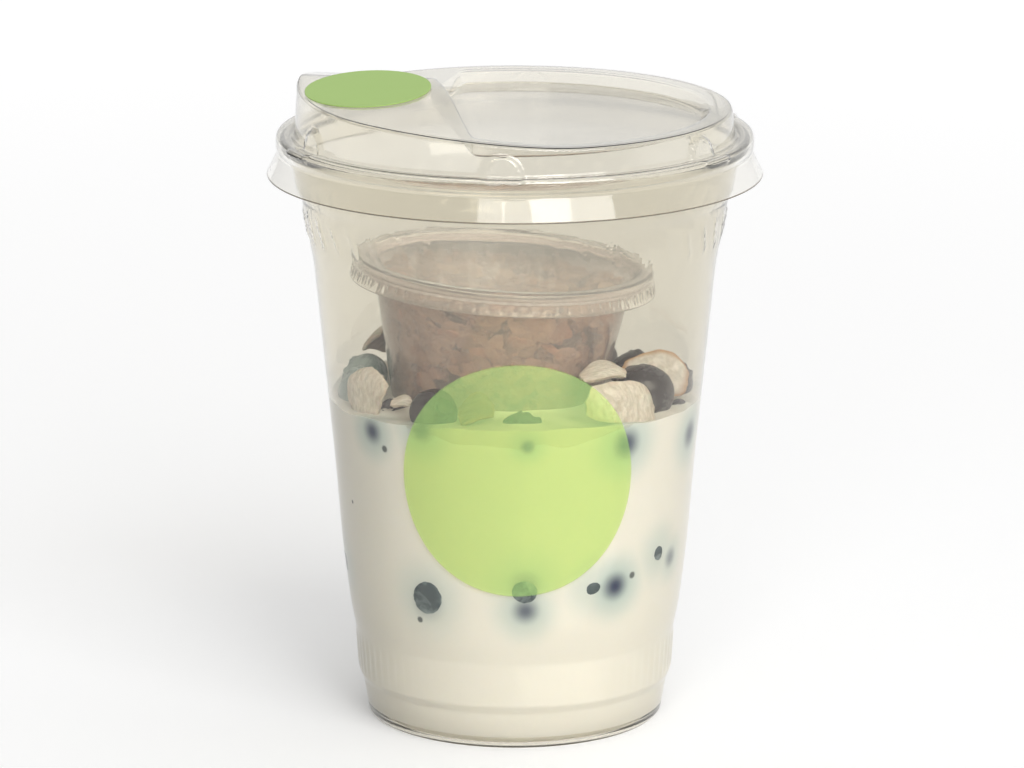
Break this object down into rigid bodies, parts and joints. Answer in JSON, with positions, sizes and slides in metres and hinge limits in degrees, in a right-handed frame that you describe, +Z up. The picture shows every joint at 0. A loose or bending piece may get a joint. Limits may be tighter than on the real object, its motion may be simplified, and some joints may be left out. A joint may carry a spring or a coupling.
{
  "type": "yogurt parfait in a lidded cup",
  "caption": "Clear lidded plastic cup of yogurt topped with blueberries and coconut chips, with a lidded tub of granola set in the toppings and plain round green stickers.",
  "frame": {"origin": "centre of the cup's foot, on the surface that it stands on", "axes": "+Z up along the cup's axis; -Y is the front with the large sticker; -X is the lid's raised sip side"},
  "size_m": [0.103, 0.103, 0.1366],
  "materials": {
    "clear_plastic": "clear, glossy, thin thermoformed plastic",
    "tub_plastic": "clear plastic, slightly hazy",
    "yogurt": "smooth, moist",
    "blueberry": "dark skin with pale bloom",
    "coconut": "dry, fibrous",
    "granola": "rough, toasted",
    "sticker": "satin, printed in plain fields of green"
  },
  "bodies": {
    "root": {"cup": "clear_plastic", "lid": "clear_plastic", "label_front": "sticker", "label_top": "sticker", "yogurt": "yogurt", "portion_cup": "tub_plastic", "portion_lid": "tub_plastic", "granola": "granola", "berry_left": "blueberry", "berry_left_low": "blueberry", "berry_front_left": "blueberry", "berry_front": "blueberry", "berry_right_large": "blueberry", "berry_right_back": "blueberry", "berry_right_edge": "blueberry", "berry_right_small": "blueberry", "berry_back_right": "blueberry", "berry_back": "blueberry", "berry_back_left": "blueberry", "berry_left_back": "blueberry", "sunk_berry_1": "blueberry", "sunk_berry_2": "blueberry", "sunk_berry_3": "blueberry", "sunk_berry_4": "blueberry", "sunk_berry_5": "blueberry", "sunk_berry_6": "blueberry", "sunk_berry_7": "blueberry", "sunk_berry_8": "blueberry", "sunk_berry_9": "blueberry", "chip_left": "coconut", "chip_left_bit": "coconut", "chip_right_low": "coconut", "chip_right_flat": "coconut", "chip_right_tall": "coconut", "chip_front": "coconut", "chip_back": "coconut", "chip_back_left": "coconut", "chip_left_back": "coconut"}
  },
  "joints": []
}
